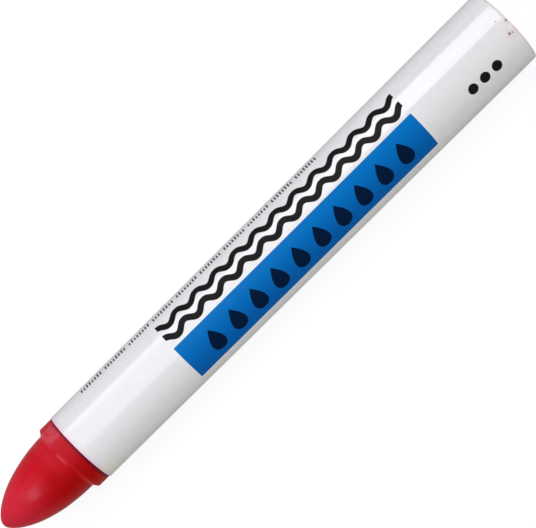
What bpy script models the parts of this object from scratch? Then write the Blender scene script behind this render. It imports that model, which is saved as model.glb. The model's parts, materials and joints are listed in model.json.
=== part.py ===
"""Paper-wrapped crayon for marking and painting, lying on its side.

The stick is cast point down in a mould whose walls open towards the butt, so it widens steadily
from the shoulder to the butt. A sheet of coated paper is rolled once round it, steps over its own
first edge, and is pasted down along that lap.

Metres, +Z up. The point faces -X and the butt +X. The crayon lies on the plane Z = 0, with the
printed side of its wrapper up and the lap below, on the -Y side.
"""
import math

import bmesh
import bpy

MM = 0.001

# Stick: bullet point, shoulder, bare collar, and a body that widens to the butt
BULLET_LENGTH = 15.1 * MM
BULLET_DIAMETER = 11.76 * MM
BULLET_SHARPNESS = 1.22  # 1 gives half an ellipse, more gives a sharper point
SHOULDER_DEPTH = 0.45 * MM
COLLAR_LENGTH = 2.5 * MM
COLLAR_DIAMETER = 13.6 * MM
BUTT_DIAMETER = 14.44 * MM
BUTT_PROUD = 0.15 * MM
EDGE_RADIUS = 0.25 * MM

# Wrapper: one turn of paper, a ramp over its own first edge, then the pasted lap
WRAPPER_LENGTH = 100.0 * MM
PAPER_THICKNESS = 0.1 * MM
WRAP_CLEARANCE = 0.03 * MM
LAP_WIDTH = 6.5 * MM
LAP_EDGE_ANGLE = math.radians(-105.0)  # free edge of the lap, from the top of the barrel towards +Y
RAMP_WIDTH = 2.0 * MM
RAMP_LEAD = 0.2 * MM  # the ramp is over this far before the sheet's first edge

# Paste: a thin strip inside the lap, set back from the paper's edges
PASTE_THICKNESS = 0.03 * MM
PASTE_CLEARANCE = 0.02 * MM
PASTE_MARGIN = 0.8 * MM

# Facets of every round surface
SIDES = 48
BULLET_RINGS = 14
EDGE_SEGMENTS = 3

STEP_ANGLE = 2.0 * math.pi / SIDES
FACET_COSINE = math.cos(0.5 * STEP_ANGLE)

# Heights along the crayon's own axis, from the butt face to the tip
WRAPPER_REAR = BUTT_PROUD
WRAPPER_FRONT = WRAPPER_REAR + WRAPPER_LENGTH
COLLAR_FRONT = WRAPPER_FRONT + COLLAR_LENGTH
BULLET_BASE = COLLAR_FRONT + SHOULDER_DEPTH
STICK_LENGTH = BULLET_BASE + BULLET_LENGTH

# How the lap stacks up: first turn of paper, paste in its clearances, second turn
LAP_LIFT = PAPER_THICKNESS + PASTE_THICKNESS + 2.0 * PASTE_CLEARANCE


def body_apothem(height):
    """Distance from the axis to the flats of the stick's body at a height above the butt."""
    share = height / COLLAR_FRONT
    radius = 0.5 * (BUTT_DIAMETER + share * (COLLAR_DIAMETER - BUTT_DIAMETER))
    return radius * FACET_COSINE


def arc_angle(width):
    """Angle that a width of paper takes up at the middle of the wrapper."""
    middle = 0.5 * (WRAPPER_REAR + WRAPPER_FRONT)
    return width / (body_apothem(middle) + WRAP_CLEARANCE)


def make_material(name, colour, roughness):
    material = bpy.data.materials.new(name)
    material.use_nodes = True
    shader = material.node_tree.nodes["Principled BSDF"]
    shader.inputs["Base Color"].default_value = (*colour, 1.0)
    shader.inputs["Roughness"].default_value = roughness
    shader.inputs["Metallic"].default_value = 0.0
    return material


def add_object(name, mesh, material, parent):
    piece = bpy.data.objects.new(name, mesh)
    piece.data.materials.append(material)
    piece.parent = parent
    parts.objects.link(piece)
    return piece


def stick_profile():
    """Half outline of the stick as (radius, height), from the tip down to the butt's centre."""
    outline = []
    for ring in range(BULLET_RINGS + 1):
        turn = 0.5 * math.pi * ring / BULLET_RINGS
        radius = 0.5 * BULLET_DIAMETER * math.sin(turn) ** BULLET_SHARPNESS
        outline.append((radius, BULLET_BASE + BULLET_LENGTH * math.cos(turn)))
    outline.append((0.5 * COLLAR_DIAMETER, COLLAR_FRONT))
    outline.append((0.5 * BUTT_DIAMETER, 0.0))
    outline.append((0.0, 0.0))
    return outline


def make_stick(parent):
    """Turned casting, with the shoulder, its foot and the butt's rim rounded."""
    outline = stick_profile()
    corners = [(radius, 0.0, height) for radius, height in outline]
    edges = [(index, index + 1) for index in range(len(corners) - 1)]
    mesh = bpy.data.meshes.new("crayon_stick")
    mesh.from_pydata(corners, edges, [])

    wax = make_material("red_wax", (0.56, 0.012, 0.022), 0.55)
    stick = add_object("crayon_stick", mesh, wax, parent)
    stick.rotation_euler.z = 0.5 * STEP_ANGLE

    turned = stick.modifiers.new("turned", "SCREW")
    turned.axis = "Z"
    turned.steps = SIDES
    turned.render_steps = SIDES
    turned.use_merge_vertices = True
    turned.merge_threshold = 0.001 * MM
    turned.use_smooth_shade = True

    rounded = stick.modifiers.new("rounded", "BEVEL")
    rounded.limit_method = "ANGLE"
    rounded.angle_limit = math.radians(35.0)
    rounded.width = EDGE_RADIUS
    rounded.segments = EDGE_SEGMENTS
    return stick


def sheet_angles(start, end, bends=()):
    """Angles where a rolled sheet gets a column of points: its ends, its bends and every corner."""
    stops = [start, *bends, end]
    first = math.ceil(start / STEP_ANGLE - 0.5)
    last = math.floor(end / STEP_ANGLE - 0.5)
    angles = list(stops)
    for index in range(first, last + 1):
        corner = (index + 0.5) * STEP_ANGLE
        if min(abs(corner - stop) for stop in stops) > 0.1 * STEP_ANGLE:
            angles.append(corner)
    return sorted(angles)


def roll_sheet(name, angles, heights, lift, thickness, material, parent):
    """Flat strip rolled round the stick at lift(angle) above its flats, thickened outwards."""
    columns = len(angles) - 1
    sheet = bmesh.new()
    bmesh.ops.create_grid(sheet, x_segments=columns, y_segments=1, size=0.5)
    for point in sheet.verts:
        angle = angles[round((point.co.x + 0.5) * columns)]
        height = heights[round(point.co.y + 0.5)]
        from_flat = (angle + 0.5 * STEP_ANGLE) % STEP_ANGLE - 0.5 * STEP_ANGLE
        radius = (body_apothem(height) + lift(angle)) / math.cos(from_flat)
        point.co = (radius * math.cos(angle), radius * math.sin(angle), height)
    mesh = bpy.data.meshes.new(name)
    sheet.to_mesh(mesh)
    sheet.free()
    mesh.shade_smooth()

    piece = add_object(name, mesh, material, parent)
    wall = piece.modifiers.new("thickness", "SOLIDIFY")
    wall.thickness = thickness
    wall.offset = 1.0
    wall.use_even_offset = True
    return piece


def make_wrapper(parent):
    """Paper sheet: from its first edge once round, up the ramp, and on to the lap's free edge."""
    first_edge = LAP_EDGE_ANGLE - arc_angle(LAP_WIDTH)
    free_edge = LAP_EDGE_ANGLE + 2.0 * math.pi
    ramp_end = first_edge + 2.0 * math.pi - arc_angle(RAMP_LEAD)
    ramp_start = ramp_end - arc_angle(RAMP_WIDTH)

    def lift(angle):
        climb = min(max((angle - ramp_start) / (ramp_end - ramp_start), 0.0), 1.0)
        return WRAP_CLEARANCE + LAP_LIFT * climb * climb * (3.0 - 2.0 * climb)

    paper = make_material("coated_paper", (0.80, 0.80, 0.83), 0.3)
    angles = sheet_angles(first_edge, free_edge, (ramp_start, ramp_end))
    heights = (WRAPPER_REAR, WRAPPER_FRONT)
    return roll_sheet("paper_wrapper", angles, heights, lift, PAPER_THICKNESS, paper, parent)


def make_paste(parent):
    """Dried paste between the two layers of the lap."""
    margin = arc_angle(PASTE_MARGIN)
    first_edge = LAP_EDGE_ANGLE - arc_angle(LAP_WIDTH) + margin
    last_edge = LAP_EDGE_ANGLE - margin
    above_flats = WRAP_CLEARANCE + PAPER_THICKNESS + PASTE_CLEARANCE

    paste = make_material("dried_paste", (0.72, 0.66, 0.52), 0.6)
    angles = sheet_angles(first_edge, last_edge)
    heights = (WRAPPER_REAR + PASTE_MARGIN, WRAPPER_FRONT - PASTE_MARGIN)
    return roll_sheet("paste_seam", angles, heights, lambda angle: above_flats, PASTE_THICKNESS,
                      paste, parent)


def make_axis():
    """Empty at the butt's centre whose Z runs to the tip, tipped so that the taper lies flat."""
    slope = math.atan((body_apothem(0.0) - body_apothem(COLLAR_FRONT)) / COLLAR_FRONT)
    reach = body_apothem(0.0) + WRAP_CLEARANCE + PAPER_THICKNESS
    axis = bpy.data.objects.new("crayon_axis", None)
    axis.location = (0.5 * STICK_LENGTH * math.cos(slope), 0.0, reach * math.cos(slope))
    axis.rotation_euler.y = -(0.5 * math.pi + slope)
    parts.objects.link(axis)
    return axis


for leftover in list(bpy.data.objects):
    bpy.data.objects.remove(leftover, do_unlink=True)

parts = bpy.data.collections.new("wrapped_crayon")
bpy.context.scene.collection.children.link(parts)

crayon_axis = make_axis()
make_stick(crayon_axis)
make_wrapper(crayon_axis)
make_paste(crayon_axis)
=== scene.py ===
"""Looks of a paper-wrapped, water-soluble marking crayon that lies on a pale floor, seen from above."""
import json
import math

import bmesh
import bpy
from mathutils import Matrix, Vector, noise


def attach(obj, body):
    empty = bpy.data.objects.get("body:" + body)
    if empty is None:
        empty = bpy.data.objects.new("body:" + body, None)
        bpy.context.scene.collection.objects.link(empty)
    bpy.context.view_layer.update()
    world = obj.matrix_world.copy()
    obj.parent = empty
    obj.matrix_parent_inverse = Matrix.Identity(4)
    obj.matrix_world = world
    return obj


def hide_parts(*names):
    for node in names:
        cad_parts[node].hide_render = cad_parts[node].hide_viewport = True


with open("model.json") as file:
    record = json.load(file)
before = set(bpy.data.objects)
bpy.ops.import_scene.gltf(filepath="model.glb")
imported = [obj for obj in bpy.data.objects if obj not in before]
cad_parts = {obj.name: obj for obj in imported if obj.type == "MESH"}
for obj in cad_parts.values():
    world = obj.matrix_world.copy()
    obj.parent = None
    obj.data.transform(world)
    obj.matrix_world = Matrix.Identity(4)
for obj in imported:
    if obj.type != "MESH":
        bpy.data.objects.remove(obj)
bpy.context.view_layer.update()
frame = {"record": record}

# Crayon stick
# A casting of pigmented, water-soluble wax: bullet point, shoulder, bare collar and a body that
# widens to the butt. It is cast point down, so the mould leaves it matt and the butt sinks a little.

MM = 0.001

butt_face = frame["record"]["mounts"][0]
to_tip = -Vector(butt_face["axis"]).normalized()
to_side = Vector((0.0, 1.0, 0.0))
to_print = to_side.cross(to_tip)
crayon_axis = Matrix((to_print, to_side, to_tip)).transposed().to_4x4()
crayon_axis.translation = Vector(butt_face["pos_m"])

bullet_length = 15.14 * MM
bullet_radius = 5.95 * MM
bullet_sharpness = 1.25  # 1 gives half an ellipse, more gives a sharper point
tip_bluntness = 0.13 * MM
tip_lean = 0.20 * MM  # towards -Y
shoulder_depth = 0.58 * MM
shoulder_skew = 0.27 * MM  # how far out of square the shoulder stands on each side
collar_length = 2.68 * MM
collar_radius = 6.80 * MM
butt_radius = 7.22 * MM
butt_proud = 0.01 * MM
butt_sink = 0.20 * MM
foot_fillet = 0.50 * MM
edge_fillet = 0.30 * MM
rim_fillet = 0.25 * MM
wrapper_length = 99.79 * MM

wrapper_front = butt_proud + wrapper_length
collar_front = wrapper_front + collar_length
bullet_base = collar_front + shoulder_depth

# Points of the turned outline, and columns of a full turn
bullet_rings = 66
rings_in_fillet = 2
fillet_steps = 10
collar_rings = 14
collar_step = 0.2 * MM
rim_steps = 8
butt_rings = 24
butt_flat = 0.95 * butt_radius
turn_columns = 192

# Unevenness of the casting: noise waves per metre with their depths, and where each effect ends
casting_swells = ((140.0, 0.030 * MM), (520.0, 0.010 * MM), (1700.0, 0.005 * MM))
bare_fade = 0.8 * MM
skew_starts = (wrapper_front + 0.5 * MM, collar_front - 0.3 * MM)
skew_ends = (bullet_base + 1.0 * MM, bullet_base + 7.0 * MM)
face_tolerance = 0.01 * MM
hollow_radius = 0.93 * butt_radius
scrape_waves = (2600.0, 240.0)
scrape_slice = 3.0
scrape_depth = 0.030 * MM
scrape_fade = 0.1  # share of the hollow where the scraping reaches its depth
butt_zone = 0.3 * MM  # face and rim of the butt, which have no side
least_radius = 0.001 * MM


def body_radius(height):
    """Radius of the stick's body at a height above the butt."""
    return butt_radius + (collar_radius - butt_radius) * height / collar_front


def rounded_corner(before, corner, after, radius, steps):
    """Arc that rounds a corner of an outline of (radius, height) points."""
    before, corner, after = Vector(before), Vector(corner), Vector(after)
    back = (before - corner).normalized()
    onward = (after - corner).normalized()
    half = 0.5 * back.angle(onward)
    centre = corner + (back + onward).normalized() * (radius / math.sin(half))
    first = corner + back * (radius / math.tan(half)) - centre
    last = corner + onward * (radius / math.tan(half)) - centre
    turn = -first.angle_signed(last)
    return [tuple(centre + Matrix.Rotation(turn * step / steps, 2) @ first) for step in range(steps + 1)]


def stick_outline():
    """Half outline of the stick from the tip to the butt's centre, as (radius, height)."""
    shoulder_foot = (bullet_radius, bullet_base)
    shoulder_edge = (collar_radius, collar_front)
    butt_rim = (butt_radius, 0.0)
    butt_centre = (0.0, 0.0)
    outline = []
    for ring in range(bullet_rings - rings_in_fillet):
        turn = 0.5 * math.pi * ring / bullet_rings
        radius = bullet_radius * math.sin(turn) ** bullet_sharpness
        depth = (bullet_length + tip_bluntness) * (1.0 - math.cos(turn))
        below_tip = math.hypot(depth, tip_bluntness) - tip_bluntness
        outline.append((radius, bullet_base + bullet_length - below_tip))
    outline += rounded_corner(outline[-1], shoulder_foot, shoulder_edge, foot_fillet, fillet_steps)
    outline += rounded_corner(shoulder_foot, shoulder_edge, butt_rim, edge_fillet, fillet_steps)
    for ring in range(1, collar_rings + 1):
        height = collar_front - edge_fillet - ring * collar_step
        outline.append((body_radius(height), height))
    outline += rounded_corner(shoulder_edge, butt_rim, butt_centre, rim_fillet, rim_steps)
    for ring in range(1, butt_rings):
        outline.append((butt_flat * (1.0 - ring / butt_rings), 0.0))
    outline.append(butt_centre)
    return outline


def new_piece(name, mesh):
    """Object at the origin, with its place in its mesh."""
    mesh.name = name
    piece = bpy.data.objects.new(name, mesh)
    bpy.context.scene.collection.objects.link(piece)
    return piece


def apply_modifiers(piece, *materials):
    """Turn a piece and its modifiers into a plain mesh with these materials, the first on every face."""
    bpy.context.view_layer.update()
    evaluated = piece.evaluated_get(bpy.context.evaluated_depsgraph_get())
    mesh = bpy.data.meshes.new_from_object(evaluated)
    mesh.name = piece.name
    mesh.materials.clear()
    for material in materials:
        mesh.materials.append(material)
    for face in mesh.polygons:
        face.material_index = 0
    piece.modifiers.clear()
    piece.data = mesh


def smooth_rise(value, low, high):
    """Smooth step from 0 at low to 1 at high."""
    share = min(max((value - low) / (high - low), 0.0), 1.0)
    return share * share * (3.0 - 2.0 * share)


def weather_casting(mesh):
    """Uneven wax, sunken butt, leaning tip and skewed shoulder. What the wrapper hides stays even."""
    heights = mesh.attributes.new("height_mm", "FLOAT", "POINT")
    sides = mesh.attributes.new("outward", "FLOAT_VECTOR", "POINT")
    for point, normal in zip(mesh.vertices, [Vector(entry.vector) for entry in mesh.vertex_normals]):
        place = point.co.copy()
        radius = math.hypot(place.x, place.y)
        heights.data[point.index].value = place.z / MM
        if place.z > butt_zone:
            sides.data[point.index].vector = Vector((place.x, place.y, 0.0)) / max(radius, least_radius)
        bare = smooth_rise(place.z, wrapper_front, wrapper_front + bare_fade)
        swell = sum(depth * noise.noise(place * waves) for waves, depth in casting_swells)
        point.co += normal * (bare * swell)
        if place.z < face_tolerance:
            hollow = 1.0 - smooth_rise(radius, 0.0, hollow_radius)
            scrape_spot = Vector((place.x * scrape_waves[0], place.y * scrape_waves[1], scrape_slice))
            scrape = scrape_depth * noise.noise(scrape_spot) * smooth_rise(hollow, 0.0, scrape_fade)
            point.co.z += butt_sink * hollow + scrape
        point.co.y -= tip_lean * max((place.z - bullet_base) / bullet_length, 0.0)
        on_shoulder = smooth_rise(place.z, *skew_starts) - smooth_rise(place.z, *skew_ends)
        point.co.z += shoulder_skew * on_shoulder * place.y / collar_radius


def add_node(tree, kind, inputs=None, **settings):
    """New node of a tree, with its settings and with values or links for its sockets."""
    node = tree.nodes.new(kind)
    for name, setting in settings.items():
        setattr(node, name, setting)
    for key, value in (inputs or {}).items():
        if isinstance(value, bpy.types.NodeSocket):
            tree.links.new(value, node.inputs[key])
        else:
            node.inputs[key].default_value = value
    return node


def reckon(tree, operation, *terms):
    """Result of a Math node."""
    return add_node(tree, "ShaderNodeMath", dict(enumerate(terms)), operation=operation).outputs[0]


def product(tree, *terms):
    """Product of sockets and numbers."""
    result = terms[0]
    for term in terms[1:]:
        result = reckon(tree, "MULTIPLY", result, term)
    return result


def scaled(tree, value, gain, base):
    """Value times gain, plus base."""
    return reckon(tree, "MULTIPLY_ADD", value, gain, base)


def rise(tree, value, low, high):
    """Smooth step of a socket from 0 at low to 1 at high, where high may be the lower number."""
    inputs = {"Value": value, "From Min": low, "From Max": high}
    return add_node(tree, "ShaderNodeMapRange", inputs, interpolation_type="SMOOTHSTEP").outputs["Result"]


def band(tree, value, low, high, soft):
    """Mask that is 1 between low and high, with soft edges."""
    start = rise(tree, value, low - soft, low + soft)
    stop = rise(tree, value, high - soft, high + soft)
    return reckon(tree, "SUBTRACT", start, stop)


def blend(tree, share, first, second):
    """Colour that goes from first to second as share goes from 0 to 1."""
    node = add_node(tree, "ShaderNodeMix", {"Factor": share}, data_type="RGBA")
    for socket, colour in zip([entry for entry in node.inputs if entry.type == "RGBA"], (first, second)):
        if isinstance(colour, bpy.types.NodeSocket):
            tree.links.new(colour, socket)
        else:
            socket.default_value = (*colour, 1.0)
    return [entry for entry in node.outputs if entry.type == "RGBA"][0]


def tint(tree, colour, mask, share, shade):
    """Colour with a share of a shade laid over it inside a mask."""
    return blend(tree, reckon(tree, "MULTIPLY", mask, share), colour, shade)


def noisy(tree, vector, scale, detail=3.0, roughness=0.55):
    """Value of a noise pattern, about 0.5 on average."""
    inputs = {"Vector": vector, "Scale": scale, "Detail": detail, "Roughness": roughness}
    return add_node(tree, "ShaderNodeTexNoise", inputs).outputs[0]


def make_broken_patches():
    """Shared effect: soft, broken patches of rubbing, bloom or stain, which also break up painted light
    and shade.
    """
    group = bpy.data.node_groups.new("broken_patches", "ShaderNodeTree")
    group.interface.new_socket("Vector", in_out="INPUT", socket_type="NodeSocketVector")
    for name in ("Scale", "Cover", "Softness"):
        group.interface.new_socket(name, in_out="INPUT", socket_type="NodeSocketFloat")
    group.interface.new_socket("Mask", in_out="OUTPUT", socket_type="NodeSocketFloat")
    source = group.nodes.new("NodeGroupInput").outputs
    sink = group.nodes.new("NodeGroupOutput").inputs
    pattern = noisy(group, source["Vector"], source["Scale"], detail=5.0, roughness=0.6)
    # The pattern lies mostly between 0.25 and 0.75, so more cover lowers the mask's start from 0.75
    low = reckon(group, "SUBTRACT", 0.75, reckon(group, "MULTIPLY", source["Cover"], 0.5))
    high = reckon(group, "ADD", low, source["Softness"])
    group.links.new(rise(group, pattern, low, high), sink["Mask"])
    return group


def patches(tree, vector, scale, cover, softness):
    """Mask of the shared rubbed patches."""
    inputs = {"Vector": vector, "Scale": scale, "Cover": cover, "Softness": softness}
    return add_node(tree, "ShaderNodeGroup", inputs, node_tree=broken_patches).outputs["Mask"]


def new_material(name, roughness, ior):
    """Material with its tree, its shader and its Object coordinates."""
    material = bpy.data.materials.new(name)
    material.use_nodes = True
    tree = material.node_tree
    shader = tree.nodes["Principled BSDF"]
    shader.inputs["Roughness"].default_value = roughness
    shader.inputs["IOR"].default_value = ior
    place = tree.nodes.new("ShaderNodeTexCoord").outputs["Object"]
    return material, tree, shader, place


def attribute(tree, name):
    """Value of a piece's own attribute."""
    return add_node(tree, "ShaderNodeAttribute", attribute_name=name).outputs["Fac"]


def towards(tree, degrees, start, full):
    """Mask of the stick's side that faces a direction, by its cosine where it starts and is full."""
    outward = add_node(tree, "ShaderNodeAttribute", attribute_name="outward").outputs["Vector"]
    direction = (math.cos(math.radians(degrees)), math.sin(math.radians(degrees)), 0.0)
    inputs = {0: outward, 1: direction}
    cosine = add_node(tree, "ShaderNodeVectorMath", inputs, operation="DOT_PRODUCT").outputs["Value"]
    return rise(tree, cosine, start, full)


noise_span = (0.3, 0.7)  # where most values of a noise pattern lie

# Colours of the wax, in pairs where its mottle goes from one to the other
# Painted light: the first pair is the wax on the -Y side and the second a paler copy for the lit +Y side;
# the colour after them is a painted warm glow on the -Y side.
shaded_side_wax = ((0.350, 0.0013, 0.0012), (0.392, 0.0021, 0.0022))
lit_side_wax = ((0.490, 0.0055, 0.0130), (0.540, 0.0075, 0.0175))
warm_lit_wax = (0.425, 0.0080, 0.0012)
# Painted light and sheen on the bullet: paler towards the point, and pinker near it.
bullet_lit_wax = (0.62, 0.013, 0.024)
point_sheen_wax = (0.68, 0.040, 0.080)
# Bloom and drag marks, laid on more strongly towards the lit +Y side, which is painted light.
bloom_and_light_wax = (0.62, 0.018, 0.024)
drag_and_light_wax = (0.66, 0.040, 0.050)
# Painted light on the shoulder's edge and slope, for the -Y and the +Y side.
edge_light_minus_y = (0.92, 0.016, 0.006)
edge_light_plus_y = (0.84, 0.034, 0.048)
# A paler pink band past the shoulder's foot.
pale_foot_wax = (0.72, 0.050, 0.080)
# Painted glint at the shoulder's foot.
painted_glint_wax = (0.86, 0.100, 0.135)
# Painted sheen on the collar's +Y side.
collar_sheen_wax = (0.56, 0.060, 0.100)
# A paler pink patch on the collar's +Y side.
pale_collar_patch_wax = (0.66, 0.120, 0.165)
# Painted shade in the crease by the paper.
painted_crease_shade = (0.090, 0.0050, 0.0200)

# Where the painted light and shade and the pale band and patch lie, in millimetres above the butt: a start
# and an end, and how soft a band is
foot_height = bullet_base / MM
edge_height = collar_front / MM
paper_height = wrapper_front / MM
bullet_light_span = (foot_height - 1.0, foot_height + 8.5)
point_sheen_span = (foot_height + 4.0, foot_height + 13.5)
edge_light_band = (edge_height - 0.10, edge_height + 0.62, 0.24)
pale_foot_band = (foot_height + 0.2, foot_height + 2.4, 0.8)
glint_band = (foot_height - 0.43, foot_height + 0.05, 0.15)
collar_band = (edge_height - 2.6, edge_height + 0.4, 0.45)
pale_patch_band = (edge_height - 2.3, edge_height + 0.30, 0.60)
crease_band = (paper_height - 1.0, paper_height + 0.42, 0.34)

# Sides that the painted light, glint and sheen and the pale patch face: degrees from the top towards +Y,
# and the cosines where each starts and is full
lit_facing = (92.0, -0.68, 0.72)
warm_light_facing = (-90.0, 0.52, 1.0)
glint_facing = (7.2, 0.970, 0.999)
sheen_facing = (62.0, 0.05, 0.80)
pale_patch_facing = (48.5, 0.940, 0.985)


def wax_colour(tree, mottle, lit_side):
    """Mottled red with painted light: paler towards +Y, where the light falls, and a painted warm glow on
    the -Y side.
    """
    mixed = rise(tree, mottle, *noise_span)
    colour = blend(tree, lit_side, blend(tree, mixed, *shaded_side_wax), blend(tree, mixed, *lit_side_wax))
    return blend(tree, towards(tree, *warm_light_facing), colour, warm_lit_wax)


def paint_bullet_light(tree, colour, height, lit_side, broken):
    """Painted light that grows from the bullet's foot to its point, more towards the lit +Y side, and a
    painted pink sheen near the point.
    """
    # Painted light: the bullet grows paler towards its point and towards the lit +Y side.
    side_share = scaled(tree, lit_side, gain=0.23, base=0.27)
    painted_light = product(tree, rise(tree, height, *bullet_light_span), side_share, broken)
    colour = blend(tree, painted_light, colour, bullet_lit_wax)
    # Painted sheen: pinker and paler near the point.
    point_sheen = product(tree, rise(tree, height, *point_sheen_span), broken)
    return tint(tree, colour, point_sheen, share=0.48, shade=point_sheen_wax)


def paint_bloom_and_light(tree, colour, place, drawn_out, lit_side):
    """Dry bloom in patches and drag marks along the stick, both laid on more strongly towards the lit +Y
    side as painted light.
    """
    # Painted light: the bloom and drag marks are weighted towards the lit +Y side.
    lit_weight = scaled(tree, lit_side, gain=0.80, base=0.20)
    bloom = product(tree, patches(tree, place, scale=420.0, cover=0.50, softness=0.25), lit_weight)
    colour = tint(tree, colour, bloom, share=0.10, shade=bloom_and_light_wax)
    drag = product(tree, patches(tree, drawn_out, scale=1900.0, cover=0.36, softness=0.2), lit_weight)
    return tint(tree, colour, drag, share=0.08, shade=drag_and_light_wax)


def paint_shoulder_light(tree, colour, height, lit_side, broken):
    """Painted light on the shoulder's edge, a paler pink band past its foot that is stronger towards +Y,
    and a painted glint on top.
    """
    # Painted light: the shoulder's edge and the slope that faces the tip are paler, as where the front
    # light falls.
    painted_light = product(tree, band(tree, height, *edge_light_band), broken)
    edge_light = blend(tree, lit_side, edge_light_minus_y, edge_light_plus_y)
    colour = tint(tree, colour, painted_light, share=0.30, shade=edge_light)
    # A paler pink band just past the foot, stronger towards +Y.
    pale_foot = product(tree, band(tree, height, *pale_foot_band), lit_side)
    colour = tint(tree, colour, pale_foot, share=0.14, shade=pale_foot_wax)
    # Painted glint: a pale streak across the shoulder's foot, on its upper side.
    smear_and_glint = product(tree, towards(tree, *glint_facing), band(tree, height, *glint_band))
    return tint(tree, colour, smear_and_glint, share=0.50, shade=painted_glint_wax)


def paint_collar_sheen_and_shade(tree, colour, place, height, on_collar, broken):
    """Collar with a painted sheen towards +Y, one paler pink patch, and painted shade in the crease where
    it meets the paper.
    """
    # Painted sheen: the collar is paler and pinker towards the lit +Y side.
    soil_and_sheen = product(tree, on_collar, towards(tree, *sheen_facing), broken)
    colour = tint(tree, colour, soil_and_sheen, share=0.06, shade=collar_sheen_wax)
    # A paler pink patch on the collar's +Y side, uneven in strength.
    uneven = patches(tree, place, scale=900.0, cover=0.95, softness=0.50)
    uneven = scaled(tree, uneven, gain=0.33, base=0.24)
    pale_patch = product(tree, towards(tree, *pale_patch_facing), band(tree, height, *pale_patch_band), uneven)
    colour = blend(tree, pale_patch, colour, pale_collar_patch_wax)
    # Painted shade: darker in the crease where the collar meets the paper's edge.
    return tint(tree, colour, band(tree, height, *crease_band), share=0.9, shade=painted_crease_shade)


def make_cast_wax():
    """Dense red wax with a soft gloss and some dry bloom, with painted light towards +Y, on the point, the
    shoulder and the collar, and painted shade in the crease by the paper.
    """
    material, tree, shader, place = new_material("cast_wax", roughness=0.24, ior=1.44)
    shader.inputs["Specular IOR Level"].default_value = 0.095
    height = attribute(tree, "height_mm")
    lengthwise = add_node(tree, "ShaderNodeMapping", {"Vector": place, "Scale": (0.14, 1.0, 1.0)})
    drawn_out = lengthwise.outputs[0]
    mottle = noisy(tree, place, scale=330.0, detail=4.0)
    # Painted light: how far a point of the stick faces the lit +Y side.
    lit_side = towards(tree, *lit_facing)
    broken = patches(tree, place, scale=300.0, cover=0.95, softness=0.60)
    broken = scaled(tree, broken, gain=0.5, base=0.8)
    on_collar = band(tree, height, *collar_band)

    colour = wax_colour(tree, mottle, lit_side)
    colour = paint_bullet_light(tree, colour, height, lit_side, broken)
    colour = paint_bloom_and_light(tree, colour, place, drawn_out, lit_side)
    colour = paint_shoulder_light(tree, colour, height, lit_side, broken)
    colour = paint_collar_sheen_and_shade(tree, colour, place, height, on_collar, broken)
    tree.links.new(colour, shader.inputs["Base Color"])

    dullness = scaled(tree, on_collar, gain=0.14, base=0.18)
    dullness = scaled(tree, mottle, gain=0.10, base=dullness)
    tree.links.new(dullness, shader.inputs["Roughness"])
    specks = noisy(tree, place, scale=5200.0, detail=2.0)
    grain = reckon(tree, "ADD", specks, noisy(tree, drawn_out, scale=2600.0))
    bump = add_node(tree, "ShaderNodeBump", {"Height": grain, "Strength": 0.30, "Distance": 0.02 * MM})
    tree.links.new(bump.outputs[0], shader.inputs["Normal"])
    return material


broken_patches = make_broken_patches()
cast_wax = make_cast_wax()

stick_corners = [(radius, 0.0, height) for radius, height in stick_outline()]
stick_edges = [(index, index + 1) for index in range(len(stick_corners) - 1)]
stick_mesh = bpy.data.meshes.new("stick_outline")
stick_mesh.from_pydata(stick_corners, stick_edges, [])
stick = new_piece("wax_stick", stick_mesh)
turned = stick.modifiers.new("turned", "SCREW")
turned.steps = turn_columns
turned.render_steps = turn_columns
turned.use_merge_vertices = True
turned.merge_threshold = 0.0001 * MM
turned.use_smooth_shade = True
turned.use_normal_calculate = True
apply_modifiers(stick, cast_wax)
weather_casting(stick.data)
stick.data.transform(crayon_axis)
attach(stick, "root")
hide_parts("crayon_stick")

# Paper wrapper
# One turn of thin coated paper, printed before it is rolled on to the stick. It climbs over its own
# first edge and is pasted down along that lap. The free corners of the lap stand up slightly.

paper_thickness = 0.1 * MM
wrap_clearance = 0.03 * MM
lap_lift = 0.17 * MM
lap_width = 6.5 * MM
ramp_width = 2.0 * MM
ramp_lead = 0.2 * MM
corner_curl = 0.12 * MM
end_roll = 0.05 * MM
roll_width = 0.24 * MM
front_skew = 0.22 * MM
rear_skew = 0.09 * MM
paper_ripple = 0.03 * MM

middle_radius = body_radius(0.5 * wrapper_length) + wrap_clearance
lap_free_edge = math.radians(255.0)
lap_first_edge = lap_free_edge - 2.0 * math.pi - lap_width / middle_radius
ramp_end = lap_first_edge + 2.0 * math.pi - ramp_lead / middle_radius
ramp_start = ramp_end - ramp_width / middle_radius

sheet_rows = 121
wrapper_columns = 221
cut_edge_angle = math.radians(40.0)
outer_face_cosine = 0.7

# Shares of the sheet's length and turn, and the rough sizes on which its noise patterns are laid out
row_crowding = 0.4
curl_length_share = 0.06
curl_turn_share = 0.025
pattern_width = 40.0 * MM
pattern_radius = 7.0 * MM


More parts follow.
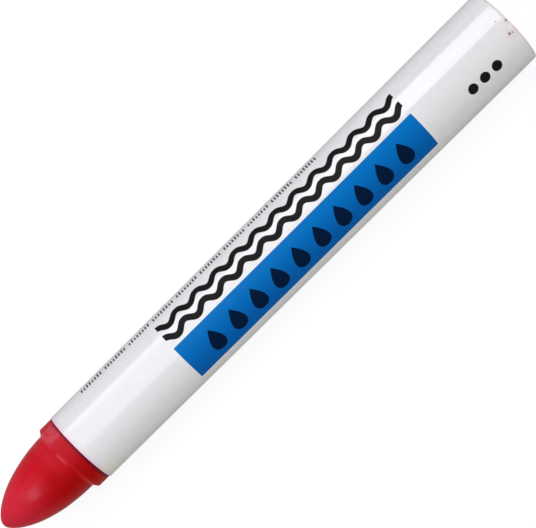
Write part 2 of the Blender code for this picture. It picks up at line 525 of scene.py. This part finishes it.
def make_rolled_sheet():
    """Rule for a sheet rolled on a cone: a grid whose columns turn round the axis and climb a ramp."""
    group = bpy.data.node_groups.new("rolled_sheet", "GeometryNodeTree")
    sizes = ("Length", "Front Height", "Front Radius", "Rear Radius", "First Edge", "Free Edge")
    sizes += ("Ramp Start", "Ramp End", "Ramp Lift", "Corner Curl", "End Roll", "Roll Width")
    sizes += ("Front Skew", "Rear Skew", "Ripple", "Waver")
    for name in sizes:
        group.interface.new_socket(name, in_out="INPUT", socket_type="NodeSocketFloat")
    for name in ("Rows", "Columns"):
        group.interface.new_socket(name, in_out="INPUT", socket_type="NodeSocketInt")
    group.interface.new_socket("Material", in_out="INPUT", socket_type="NodeSocketMaterial")
    group.interface.new_socket("Sheet", in_out="OUTPUT", socket_type="NodeSocketGeometry")
    source = group.nodes.new("NodeGroupInput").outputs
    sink = group.nodes.new("NodeGroupOutput").inputs

    grid = add_node(group, "GeometryNodeMeshGrid", {
        "Size X": 1.0,
        "Size Y": 1.0,
        "Vertices X": source["Rows"],
        "Vertices Y": source["Columns"],
    })
    spot = group.nodes.new("GeometryNodeInputPosition").outputs[0]
    flat = add_node(group, "ShaderNodeSeparateXYZ", {0: spot})
    even_share = reckon(group, "ADD", flat.outputs["X"], 0.5)
    crowding = reckon(group, "SINE", reckon(group, "MULTIPLY", even_share, 2.0 * math.pi))
    along_share = scaled(group, crowding, -row_crowding / math.pi, even_share)
    around_share = reckon(group, "ADD", flat.outputs["Y"], 0.5)
    span = reckon(group, "SUBTRACT", source["Free Edge"], source["First Edge"])
    angle = scaled(group, around_share, span, source["First Edge"])

    near_side = reckon(group, "MULTIPLY", reckon(group, "SINE", angle), -0.5)
    front_cut = reckon(group, "MULTIPLY", near_side, source["Front Skew"])
    rear_cut = reckon(group, "MULTIPLY", reckon(group, "ADD", near_side, 0.5), source["Rear Skew"])
    cut_end = reckon(group, "SUBTRACT", source["Length"], rear_cut)
    cut_length = reckon(group, "SUBTRACT", cut_end, front_cut)
    along = scaled(group, along_share, cut_length, front_cut)
    height = reckon(group, "SUBTRACT", source["Front Height"], along)
    across = reckon(group, "MULTIPLY", flat.outputs["Y"], pattern_width)
    beside = add_node(group, "ShaderNodeCombineXYZ", {0: along, 1: across})
    wander = reckon(group, "SUBTRACT", noisy(group, beside.outputs[0], scale=260.0, detail=2.0), 0.5)
    angle = scaled(group, wander, source["Waver"], angle)

    taper = reckon(group, "SUBTRACT", source["Rear Radius"], source["Front Radius"])
    radius = scaled(group, along_share, taper, source["Front Radius"])
    climb = rise(group, angle, source["Ramp Start"], source["Ramp End"])
    radius = scaled(group, climb, source["Ramp Lift"], radius)
    rolled_in = rise(group, reckon(group, "SUBTRACT", cut_end, along), source["Roll Width"], 0.0)
    radius = reckon(group, "SUBTRACT", radius, reckon(group, "MULTIPLY", rolled_in, source["End Roll"]))
    from_middle = reckon(group, "ABSOLUTE", reckon(group, "SUBTRACT", along_share, 0.5))
    near_end = rise(group, from_middle, 0.5 - curl_length_share, 0.5)
    near_edge = rise(group, around_share, 1.0 - curl_turn_share, 1.0)
    curl = reckon(group, "MULTIPLY", near_end, near_edge)
    radius = scaled(group, curl, source["Corner Curl"], radius)

    level = reckon(group, "COSINE", angle)
    aside = reckon(group, "SINE", angle)
    turn = add_node(group, "ShaderNodeCombineXYZ", {
        0: reckon(group, "MULTIPLY", level, pattern_radius),
        1: reckon(group, "MULTIPLY", aside, pattern_radius),
        2: along,
    })
    ripple = reckon(group, "SUBTRACT", noisy(group, turn.outputs[0], scale=110.0, detail=1.0), 0.5)
    radius = scaled(group, ripple, source["Ripple"], radius)
    rolled = add_node(group, "ShaderNodeCombineXYZ", {
        0: reckon(group, "MULTIPLY", level, radius),
        1: reckon(group, "MULTIPLY", aside, radius),
        2: height,
    })

    stored = grid.outputs["Mesh"]
    along_mm = reckon(group, "MULTIPLY", along, 1.0 / MM)
    around_deg = reckon(group, "DEGREES", angle)
    for name, value in (("along_mm", along_mm), ("around_deg", around_deg)):
        inputs = {"Geometry": stored, "Name": name, "Value": value}
        stored = add_node(group, "GeometryNodeStoreNamedAttribute", inputs).outputs[0]
    moved = {"Geometry": stored, "Position": rolled.outputs[0]}
    placed = add_node(group, "GeometryNodeSetPosition", moved)
    smooth = add_node(group, "GeometryNodeSetShadeSmooth", {"Geometry": placed.outputs[0]})
    real = add_node(group, "GeometryNodeRealizeInstances", {"Geometry": smooth.outputs[0]})
    finish = {"Geometry": real.outputs[0], "Material": source["Material"]}
    dressed = add_node(group, "GeometryNodeSetMaterial", finish)
    group.links.new(dressed.outputs[0], sink["Sheet"])
    return group


def set_inputs(modifier, values):
    """Set a Geometry Nodes modifier's inputs, which Blender keeps by the sockets' identifiers."""
    for entry in modifier.node_group.interface.items_tree:
        if entry.in_out == "INPUT" and entry.name in values:
            modifier[entry.identifier] = values[entry.name]


def roll_sheet(name, sizes, thickness, *materials):
    """Piece made by the sheet's rule and thickened outwards. A size that isn't given is 0."""
    piece = new_piece(name, bpy.data.meshes.new(name))
    rolled = piece.modifiers.new("rolled", "NODES")
    rolled.node_group = rolled_sheet
    set_inputs(rolled, {**sizes, "Material": materials[0]})
    wall = piece.modifiers.new("thickness", "SOLIDIFY")
    wall.thickness = thickness
    wall.offset = 1.0
    apply_modifiers(piece, *materials)
    piece.data.set_sharp_from_angle(angle=cut_edge_angle)
    return piece


# Layout of the print, in millimetres from the front edge and in degrees from the top towards +Y
label_start = 22.81
label_end = 77.64
panel_low = -56.8
panel_high = 5.6
waves_middle = 29.75
wave_count = 12
wave_swing = 0.56
wave_half_width = 0.58
wave_spacing = 1.19
drops_start = 26.5
drops_end = 74.8
drops_low = -45.0
drops_high = -8.6
drop_count = 10
drop_half_width = 1.42
ticks_start = 6.5
ticks_foot = 62.0
ticks_top = 69.0
ticks_top_spread = 5.0
tick_pitch = 0.62
ticks_in_group = 9
tick_groups = 10
dots_start = 86.5
dots_end = 94.7
dots_middle = -31.0
dot_count = 3
dot_radius = 0.95

# How soft the print's edges are, in millimetres along the sheet and in degrees round it
line_softness = 0.05
panel_softness = 0.04
turn_softness = 0.3
row_softness = 0.01
tick_end_softness = 0.5
drop_edge = (-0.03, 0.07)  # millimetres inside a drop's outline where its ink starts and is full
tick_edge = (0.34, 0.20)  # the same for a tick, as shares of the pitch from its middle
mm_per_degree = math.radians(1.0) * middle_radius / MM


def cell(tree, value, first, pitch):
    """Place within a row of equal cells, from -0.5 to 0.5, and the cell's number."""
    count = reckon(tree, "DIVIDE", reckon(tree, "SUBTRACT", value, first), pitch)
    return reckon(tree, "SUBTRACT", reckon(tree, "FRACT", count), 0.5), reckon(tree, "FLOOR", count)


def wave_mask(tree, along, around):
    """Two bold, level waves, one above the other."""
    wave_number = 2.0 * math.pi * wave_count / (label_end - label_start)
    across = product(tree, reckon(tree, "SUBTRACT", around, waves_middle), mm_per_degree)
    phase = product(tree, reckon(tree, "SUBTRACT", along, label_start), wave_number)
    level = reckon(tree, "SUBTRACT", across, product(tree, reckon(tree, "COSINE", phase), wave_swing))
    slope = product(tree, reckon(tree, "SINE", phase), wave_swing * wave_number)
    steepness = reckon(tree, "SQRT", scaled(tree, slope, slope, 1.0))
    away = reckon(tree, "SUBTRACT", reckon(tree, "ABSOLUTE", level), wave_spacing)
    away = reckon(tree, "DIVIDE", reckon(tree, "ABSOLUTE", away), steepness)
    stroke = rise(tree, away, wave_half_width + line_softness, wave_half_width - line_softness)
    return product(tree, stroke, band(tree, along, label_start, label_end, line_softness))


def drop_mask(tree, along, around):
    """Row of water drops that point up the label."""
    pitch = (drops_end - drops_start) / drop_count
    offset, _ = cell(tree, along, drops_start, pitch)
    aside = reckon(tree, "ABSOLUTE", product(tree, offset, pitch))
    depth = reckon(tree, "DIVIDE", reckon(tree, "SUBTRACT", drops_high, around), drops_high - drops_low)
    depth = reckon(tree, "MINIMUM", reckon(tree, "MAXIMUM", depth, 0.0), 1.0)
    # A drop is as wide as depth times the root of 1 - depth, which is at most 1 / (1.5 * root of 3)
    fullness = 1.5 * math.sqrt(3.0) * drop_half_width
    half_width = product(tree, depth, reckon(tree, "SQRT", reckon(tree, "SUBTRACT", 1.0, depth)), fullness)
    drops = rise(tree, reckon(tree, "SUBTRACT", half_width, aside), *drop_edge)
    row = band(tree, along, drops_start, drops_end, row_softness)
    return product(tree, drops, row, band(tree, around, drops_low, drops_high, turn_softness))


def tick_mask(tree, along, around):
    """Row of fine ticks of uneven height, with every ninth left out."""
    offset, number = cell(tree, along, ticks_start, tick_pitch)
    chance = add_node(tree, "ShaderNodeTexWhiteNoise", {"W": number}, noise_dimensions="1D")
    tick = rise(tree, reckon(tree, "ABSOLUTE", offset), *tick_edge)
    top = scaled(tree, chance.outputs["Value"], ticks_top_spread, ticks_top)
    above_foot = rise(tree, around, ticks_foot - tick_end_softness, ticks_foot + tick_end_softness)
    past_top = reckon(tree, "SUBTRACT", around, top)
    above_top = rise(tree, past_top, -tick_end_softness, tick_end_softness)
    row = reckon(tree, "SUBTRACT", above_foot, above_top)
    group_place, _ = cell(tree, number, 0.0, ticks_in_group)
    kept = reckon(tree, "LESS_THAN", group_place, 0.5 - 1.5 / ticks_in_group)
    ticks_end = ticks_start + tick_pitch * ticks_in_group * tick_groups
    return product(tree, tick, kept, row, band(tree, along, ticks_start, ticks_end, line_softness))


def dot_mask(tree, along, around):
    """Three dots near the rear end."""
    pitch = (dots_end - dots_start) / dot_count
    offset, _ = cell(tree, along, dots_start, pitch)
    aside = product(tree, offset, pitch)
    across = product(tree, reckon(tree, "SUBTRACT", around, dots_middle), mm_per_degree)
    away = reckon(tree, "SQRT", scaled(tree, across, across, product(tree, aside, aside)))
    dots = rise(tree, away, dot_radius + line_softness, dot_radius - line_softness)
    return product(tree, dots, band(tree, along, dots_start, dots_end, row_softness))


# Colours of the paper and its print, in pairs where one goes over into the other
paper_white = ((0.757, 0.768, 0.768), (0.787, 0.798, 0.796))
handled_paper = (0.52, 0.48, 0.40)
# Painted warm light near the front edge on the -Y side.
painted_warm_light = (0.81, 0.755, 0.62)
# Painted shade: the panel's blue goes from a lit colour near the top to a shaded one towards -Y.
panel_blue_lit_to_shaded = ((0.0015, 0.164, 0.500), (0.0015, 0.116, 0.424))
drop_blue = (0.0010, 0.0110, 0.042)
print_black = (0.011, 0.010, 0.010)
tick_ink = 0.9  # share of that black in the fine ticks
touched_red = (0.91, 0.53, 0.67)
smeared_red = (0.80, 0.45, 0.50)
# Painted shade along the rear rim.
painted_rim_shade = (0.50, 0.42, 0.41)
raw_white = ((0.62, 0.59, 0.57), (0.76, 0.74, 0.72))
raw_stain = (0.60, 0.16, 0.17)

# Where the sheet is soiled and where light and shade are painted on it, in the print's measures: a start
# and an end, and how soft a band is
warm_light_reach = (7.0, 0.0)
warm_light_band = (-94.0, -41.0, 11.0)
panel_shading_span = (8.0, -44.0)
front_touch_span = (0.95, 0.0)
rear_smear_place = (99.2, -7.0)
rear_smear_size = (2.2, 16.0)
rear_smear_fade = (1.0, 0.1)  # squared shares of that size where it starts and is full
rim_shade_span = (99.35, 99.70)


def print_label(tree, colour, along, around):
    """Paper with the panel and the marks printed on it, and the mask of all ink."""
    panel = band(tree, along, label_start, label_end, panel_softness)
    panel = product(tree, panel, band(tree, around, panel_low, panel_high, turn_softness))
    drops = drop_mask(tree, along, around)
    ticks = product(tree, tick_mask(tree, along, around), tick_ink)
    black = reckon(tree, "MAXIMUM", wave_mask(tree, along, around), dot_mask(tree, along, around))
    black = reckon(tree, "MAXIMUM", black, ticks)
    # Painted shade: the panel's ink darkens towards -Y, away from the light.
    panel_ink = blend(tree, rise(tree, around, *panel_shading_span), *panel_blue_lit_to_shaded)
    colour = blend(tree, panel, colour, panel_ink)
    colour = blend(tree, drops, colour, drop_blue)
    colour = blend(tree, black, colour, print_black)
    return colour, reckon(tree, "MAXIMUM", panel, reckon(tree, "MAXIMUM", black, drops))


def stain_ends(tree, colour, place, along, around):
    """Red rubbed on to the front edge, a faint red smudge of wax near the rear edge, and painted shade in
    broken patches along the rear rim.
    """
    uneven = patches(tree, place, scale=700.0, cover=0.9, softness=0.45)
    uneven = scaled(tree, uneven, gain=0.30, base=0.40)
    touched = product(tree, rise(tree, along, *front_touch_span), uneven)
    colour = blend(tree, touched, colour, touched_red)

    smear_along, smear_around = rear_smear_place
    smear_length, smear_turn = rear_smear_size
    reach = reckon(tree, "DIVIDE", reckon(tree, "SUBTRACT", smear_along, along), smear_length)
    turn = reckon(tree, "DIVIDE", reckon(tree, "SUBTRACT", around, smear_around), smear_turn)
    smear_and_glint = rise(tree, scaled(tree, turn, turn, product(tree, reach, reach)), *rear_smear_fade)
    smear_and_glint = product(tree, smear_and_glint, patches(tree, place, scale=800.0, cover=0.9, softness=0.5))
    colour = tint(tree, colour, smear_and_glint, share=0.52, shade=smeared_red)

    # Painted shade: the rear rim, where the paper rolls in, is darker in broken patches.
    rim_shade = patches(tree, place, scale=900.0, cover=0.9, softness=0.5)
    rim_shade = product(tree, scaled(tree, rim_shade, gain=0.35, base=0.25), rise(tree, along, *rim_shade_span))
    return blend(tree, rim_shade, colour, painted_rim_shade)


def make_printed_paper():
    """White coated paper with matt ink, faintly soiled by hands and by the wax at both ends, with painted
    warm light near its front on the -Y side, and painted shade across the blue panel and along the rear
    rim.
    """
    material, tree, shader, place = new_material("printed_paper", roughness=0.6, ior=1.4)
    shader.inputs["Specular IOR Level"].default_value = 0.03
    shader.inputs["Coat Roughness"].default_value = 0.15
    shader.inputs["Coat IOR"].default_value = 1.47
    along = attribute(tree, "along_mm")
    around = attribute(tree, "around_deg")
    fibre = noisy(tree, place, scale=900.0, detail=4.0, roughness=0.6)
    soil_and_sheen = patches(tree, place, scale=190.0, cover=0.35, softness=0.3)
    # Painted warm light: a yellowish glow near the front edge on the -Y side.
    warm_light = product(tree, rise(tree, along, *warm_light_reach), band(tree, around, *warm_light_band))

    colour = blend(tree, rise(tree, fibre, *noise_span), *paper_white)
    colour = tint(tree, colour, soil_and_sheen, share=0.06, shade=handled_paper)
    colour = tint(tree, colour, warm_light, share=0.5, shade=painted_warm_light)
    colour, ink = print_label(tree, colour, along, around)
    colour = stain_ends(tree, colour, place, along, around)
    tree.links.new(colour, shader.inputs["Base Color"])

    dulled = scaled(tree, ink, gain=0.95, base=product(tree, soil_and_sheen, 0.15))
    gloss = reckon(tree, "MAXIMUM", reckon(tree, "SUBTRACT", 1.0, dulled), 0.0)
    tree.links.new(gloss, shader.inputs["Coat Weight"])
    relief = scaled(tree, fibre, gain=0.25, base=noisy(tree, place, scale=380.0, detail=2.0))
    bump = add_node(tree, "ShaderNodeBump", {"Height": relief, "Strength": 1.0, "Distance": 0.035 * MM})
    tree.links.new(bump.outputs[0], shader.inputs["Normal"])
    return material


def make_raw_paper():
    """Uncoated back and cut edges of the sheet, stained by the wax."""
    material, tree, shader, place = new_material("raw_paper", roughness=0.75, ior=1.4)
    colour = blend(tree, noisy(tree, place, scale=2400.0, detail=4.0), *raw_white)
    stain = patches(tree, place, scale=700.0, cover=0.45, softness=0.3)
    colour = tint(tree, colour, stain, share=0.35, shade=raw_stain)
    tree.links.new(colour, shader.inputs["Base Color"])
    return material


def sort_faces(mesh):
    """Give the printed side the first material, and the back and cut edges the second."""
    for face in mesh.polygons:
        outward = Vector((face.center.x, face.center.y, 0.0)).normalized()
        face.material_index = 0 if face.normal.dot(outward) > outer_face_cosine else 1


rolled_sheet = make_rolled_sheet()
printed_paper = make_printed_paper()
raw_paper = make_raw_paper()

wrapper_sizes = {
    "Length": wrapper_length,
    "Front Height": wrapper_front,
    "Front Radius": body_radius(wrapper_front) + wrap_clearance,
    "Rear Radius": body_radius(butt_proud) + wrap_clearance,
    "First Edge": lap_first_edge,
    "Free Edge": lap_free_edge,
    "Ramp Start": ramp_start,
    "Ramp End": ramp_end,
    "Ramp Lift": lap_lift,
    "Corner Curl": corner_curl,
    "End Roll": end_roll,
    "Roll Width": roll_width,
    "Front Skew": front_skew,
    "Rear Skew": rear_skew,
    "Ripple": paper_ripple,
    "Rows": sheet_rows,
    "Columns": wrapper_columns,
}
wrapper = roll_sheet("paper_wrap", wrapper_sizes, paper_thickness, printed_paper, raw_paper)
sort_faces(wrapper.data)
wrapper.data.transform(crayon_axis)
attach(wrapper, "root")
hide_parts("paper_wrapper")

# Paste seam
# Dried paste between the two layers of the lap, brushed on as a strip that stays short of the
# paper's edges. It only shows from the ends, where the layers part.

paste_thickness = 0.03 * MM
paste_clearance = 0.02 * MM
paste_margin = 0.8 * MM
paste_waver = 0.06
paste_columns = 25
paste_lift = wrap_clearance + paper_thickness + paste_clearance
paste_inset = 1.3 * paste_margin / middle_radius  # room for the strip's wavering edges
thin_paste = (0.74, 0.69, 0.56)
thick_paste = (0.60, 0.50, 0.33)


def make_brushed_paste():
    """Yellowish paste, slightly glossy where it is thick."""
    material, tree, shader, place = new_material("brushed_paste", roughness=0.6, ior=1.45)
    thick = patches(tree, place, scale=520.0, cover=0.6, softness=0.4)
    tree.links.new(blend(tree, thick, thin_paste, thick_paste), shader.inputs["Base Color"])
    tree.links.new(scaled(tree, thick, gain=-0.25, base=0.65), shader.inputs["Roughness"])
    return material


paste_sizes = {
    "Length": wrapper_length - 2.0 * paste_margin,
    "Front Height": wrapper_front - paste_margin,
    "Front Radius": body_radius(wrapper_front - paste_margin) + paste_lift,
    "Rear Radius": body_radius(butt_proud + paste_margin) + paste_lift,
    "First Edge": lap_first_edge + paste_inset,
    "Free Edge": lap_free_edge - 2.0 * math.pi - paste_inset,
    "Ramp Start": ramp_start,
    "Ramp End": ramp_end,
    "Roll Width": roll_width,
    "Waver": paste_waver,
    "Rows": sheet_rows,
    "Columns": paste_columns,
}
paste = roll_sheet("paste_strip", paste_sizes, paste_thickness, make_brushed_paste())
paste.data.transform(crayon_axis)
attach(paste, "root")
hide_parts("paste_seam")

# Wax crumbs
# A few specks of rubbed-off wax that cling to the paper, most of them near its rear edge, left by
# the rim of the butt and by fingers.

# Each crumb: millimetres from the paper's front edge, degrees from the top, size in millimetres
crumb_places = ((98.34, -11.5, 0.27), (98.87, -12.8, 0.15), (99.45, 4.1, 0.21), (98.10, 12.6, 0.11))
crumb_places += ((1.4, 128.0, 0.16), (96.9, 141.0, 0.15))
crumb_lift = 0.02 * MM
crumb_lumpiness = 0.16 * MM
crumb_width = 0.75
crumb_flatness = 0.45
crumb_seed = 7
crumb_red = ((0.235, 0.140, 0.150), (0.370, 0.245, 0.258))


def make_crumb_scatter():
    """Rule that sets a lumpy, turned crumb of the stored size on every point."""
    group = bpy.data.node_groups.new("crumb_scatter", "GeometryNodeTree")
    group.interface.new_socket("Points", in_out="INPUT", socket_type="NodeSocketGeometry")
    for name in ("Lumpiness", "Width", "Flatness"):
        group.interface.new_socket(name, in_out="INPUT", socket_type="NodeSocketFloat")
    group.interface.new_socket("Seed", in_out="INPUT", socket_type="NodeSocketInt")
    group.interface.new_socket("Material", in_out="INPUT", socket_type="NodeSocketMaterial")
    group.interface.new_socket("Crumbs", in_out="OUTPUT", socket_type="NodeSocketGeometry")
    source = group.nodes.new("NodeGroupInput").outputs
    sink = group.nodes.new("NodeGroupOutput").inputs

    ball = add_node(group, "GeometryNodeMeshIcoSphere", {"Radius": 1.0, "Subdivisions": 3})
    stored = add_node(group, "GeometryNodeInputNamedAttribute", {"Name": "crumb_size"}, data_type="FLOAT")
    size = stored.outputs["Attribute"]
    squashed = add_node(group, "ShaderNodeCombineXYZ", {
        0: size,
        1: reckon(group, "MULTIPLY", size, source["Width"]),
        2: reckon(group, "MULTIPLY", size, source["Flatness"]),
    })
    side = {"Name": "outward"}
    outward = add_node(group, "GeometryNodeInputNamedAttribute", side, data_type="FLOAT_VECTOR")
    upright = {"Vector": outward.outputs["Attribute"]}
    lying = add_node(group, "FunctionNodeAlignRotationToVector", upright, axis="Z")
    chance = add_node(group, "FunctionNodeRandomValue", {"Seed": source["Seed"]}, data_type="FLOAT")
    full_turn = reckon(group, "MULTIPLY", chance.outputs[1], 2.0 * math.pi)
    spin = add_node(group, "ShaderNodeCombineXYZ", {2: full_turn})
    turns = {0: lying.outputs[0], 1: spin.outputs[0]}
    spun = add_node(group, "FunctionNodeRotateRotation", turns, rotation_space="LOCAL")
    instances = add_node(group, "GeometryNodeInstanceOnPoints", {
        "Points": source["Points"],
        "Instance": ball.outputs["Mesh"],
        "Scale": squashed.outputs[0],
        "Rotation": spun.outputs[0],
    })
    real = add_node(group, "GeometryNodeRealizeInstances", {"Geometry": instances.outputs[0]})

    spot = group.nodes.new("GeometryNodeInputPosition").outputs[0]
    lump = reckon(group, "SUBTRACT", noisy(group, spot, scale=4200.0, detail=2.0), 0.5)
    reach = reckon(group, "MULTIPLY", lump, source["Lumpiness"])
    normal = group.nodes.new("GeometryNodeInputNormal").outputs[0]
    push = add_node(group, "ShaderNodeVectorMath", {0: normal, "Scale": reach}, operation="SCALE")
    moved = {"Geometry": real.outputs[0], "Offset": push.outputs[0]}
    lumpy = add_node(group, "GeometryNodeSetPosition", moved)
    smooth = add_node(group, "GeometryNodeSetShadeSmooth", {"Geometry": lumpy.outputs[0]})
    finish = {"Geometry": smooth.outputs[0], "Material": source["Material"]}
    dressed = add_node(group, "GeometryNodeSetMaterial", finish)
    group.links.new(dressed.outputs[0], sink["Crumbs"])
    return group


def make_crumb_wax():
    """Rubbed-off wax, dull and greyed."""
    material, tree, shader, place = new_material("crumb_wax", roughness=0.6, ior=1.44)
    colour = blend(tree, noisy(tree, place, scale=3000.0), *crumb_red)
    tree.links.new(colour, shader.inputs["Base Color"])
    return material


def crumb_seats():
    """Points of the wrapper's outer face that hold crumbs, each with its crumb's size and side."""
    spots = []
    sides = []
    for along, around, _ in crumb_places:
        height = wrapper_front - along * MM
        side = Vector((math.cos(math.radians(around)), math.sin(math.radians(around)), 0.0))
        radius = body_radius(height) + wrap_clearance + paper_thickness + crumb_lift
        spots.append(side * radius + Vector((0.0, 0.0, height)))
        sides.append(side)
    points = bpy.data.meshes.new("crumb_points")
    points.from_pydata(spots, [], [])
    stored_sizes = points.attributes.new("crumb_size", "FLOAT", "POINT")
    stored_sides = points.attributes.new("outward", "FLOAT_VECTOR", "POINT")
    for index, (_, _, size) in enumerate(crumb_places):
        stored_sizes.data[index].value = size * MM
        stored_sides.data[index].vector = sides[index]
    return points


crumb_wax = make_crumb_wax()
crumbs = new_piece("wax_crumbs", crumb_seats())
scattered = crumbs.modifiers.new("scattered", "NODES")
scattered.node_group = make_crumb_scatter()
set_inputs(scattered, {
    "Lumpiness": crumb_lumpiness,
    "Width": crumb_width,
    "Flatness": crumb_flatness,
    "Seed": crumb_seed,
    "Material": crumb_wax,
})
apply_modifiers(crumbs, crumb_wax)
crumbs.data.transform(crayon_axis)
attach(crumbs, "root")

# Floor
# A plain, pale table top that the crayon lies on. What the camera sees of it is lifted to white, and
# it still takes the crayon's shadow.

floor_half_width = 30.0
floor_grey = (0.25, 0.25, 0.25, 1.0)
floor_lift = 0.82
mirrored_lift = 0.25

floor_form = bmesh.new()
bmesh.ops.create_grid(floor_form, x_segments=1, y_segments=1, size=floor_half_width)
floor_mesh = bpy.data.meshes.new("floor_sheet")
floor_form.to_mesh(floor_mesh)
floor_form.free()
floor = new_piece("floor", floor_mesh)

table_white, floor_tree, floor_shader, _ = new_material("table_white", roughness=0.9, ior=1.2)
floor_shader.inputs["Base Color"].default_value = floor_grey
floor_shader.inputs["Emission Color"].default_value = (1.0, 1.0, 1.0, 1.0)
path = floor_tree.nodes.new("ShaderNodeLightPath").outputs
seen = reckon(floor_tree, "MAXIMUM", path["Is Camera Ray"], path["Is Transmission Ray"])
mirrored = reckon(floor_tree, "MULTIPLY", path["Is Glossy Ray"], mirrored_lift)
lifted = reckon(floor_tree, "MULTIPLY", reckon(floor_tree, "MAXIMUM", seen, mirrored), floor_lift)
floor_tree.links.new(lifted, floor_shader.inputs["Emission Strength"])
floor.data.materials.append(table_white)

# Studio light
# Soft panels over the crayon: broad, far and front ones, a brighter one above the rear end, and a
# small one for the soft gleam on the point. Weak reflectors, which the gloss doesn't mirror, fill the
# -Y side and the butt.

panel_distance = 0.70
butt_reflector_distance = 0.80
butt_reflector_lean = math.radians(80.0)


def add_panel(name, leans, ends, radiance, colour):
    """Panel lamp between two leans from the vertical towards +Y, in degrees, and two places along X."""
    low_lean, high_lean = (math.radians(lean) for lean in leans)
    front, rear = ends
    lean = 0.5 * (low_lean + high_lean)
    lamp = bpy.data.lights.new(name, "AREA")
    lamp.shape = "RECTANGLE"
    lamp.size = rear - front
    lamp.size_y = 2.0 * panel_distance * math.tan(0.5 * (high_lean - low_lean))
    lamp.energy = radiance * math.pi * lamp.size * lamp.size_y
    lamp.color = colour
    panel = bpy.data.objects.new(name, lamp)
    panel.matrix_world = Matrix.Rotation(-lean, 4, "X")
    toward = Vector((0.0, math.sin(lean), math.cos(lean)))
    panel.location = toward * panel_distance + Vector((0.5 * (rear + front), 0.0, 0.0))
    bpy.context.scene.collection.objects.link(panel)
    return panel


add_panel("broad_panel", (-12.0, 46.0), (-0.14, 0.03), radiance=2.75, colour=(0.985, 0.995, 0.985))
add_panel("rear_panel", (21.0, 69.5), (0.03, 0.17), radiance=6.0, colour=(0.990, 0.975, 1.0))
add_panel("far_panel", (46.0, 66.0), (-0.14, 0.03), radiance=4.4, colour=(0.985, 0.995, 0.985))
add_panel("point_panel", (-24.0, 23.0), (-0.615, -0.555), radiance=31.0, colour=(0.91, 0.82, 1.0))
add_panel("front_panel", (10.0, 60.0), (-0.90, -0.35), radiance=1.48, colour=(0.98, 0.94, 1.0))
reflectors = (
    add_panel("near_reflector", (-48.0, -14.0), (-0.33, 0.33), radiance=0.35, colour=(1.0, 0.99, 0.96)),
    add_panel("low_reflector", (-80.0, -48.0), (-0.16, 0.50), radiance=1.90, colour=(0.97, 1.0, 0.88)),
    add_panel("butt_reflector", (-30.0, 30.0), (-0.12, 0.12), radiance=2.8, colour=(1.0, 1.0, 1.0)),
)
for reflector in reflectors:
    reflector.visible_glossy = False
behind_butt = Matrix.Translation((0.0, 0.0, butt_reflector_distance))
reflectors[-1].matrix_world = Matrix.Rotation(butt_reflector_lean, 4, "Y") @ behind_butt

room = bpy.data.worlds.new("dim_room")
room.use_nodes = True
room_light = room.node_tree.nodes["Background"]
room_light.inputs["Color"].default_value = (0.97, 0.98, 1.0, 1.0)
room_light.inputs["Strength"].default_value = 0.10
bpy.context.scene.world = room
bpy.context.scene.view_settings.view_transform = "Standard"

# Camera
# Square above the crayon, near the middle of its length, and turned so that the point lies at the
# lower left of the picture.

camera_distance = 0.400
pixel = 0.16702 * MM
image_width = 536
sensor_width = 36.0
camera_turn = math.radians(44.8)
aim_behind_front = 261.2 * pixel
aim_aside = -2.20 * pixel

camera_lens = bpy.data.cameras.new("camera")
camera_lens.sensor_width = sensor_width
camera_lens.lens = sensor_width * camera_distance / (image_width * pixel)
camera = bpy.data.objects.new("camera", camera_lens)
aim = crayon_axis @ Vector((0.0, aim_aside, wrapper_front - aim_behind_front))
image_right = -to_tip * math.cos(camera_turn) - to_side * math.sin(camera_turn)
image_up = -to_tip * math.sin(camera_turn) + to_side * math.cos(camera_turn)
camera.matrix_world = Matrix((image_right, image_up, to_print)).transposed().to_4x4()
camera.location = aim + to_print * camera_distance
bpy.context.scene.collection.objects.link(camera)
bpy.context.scene.camera = camera
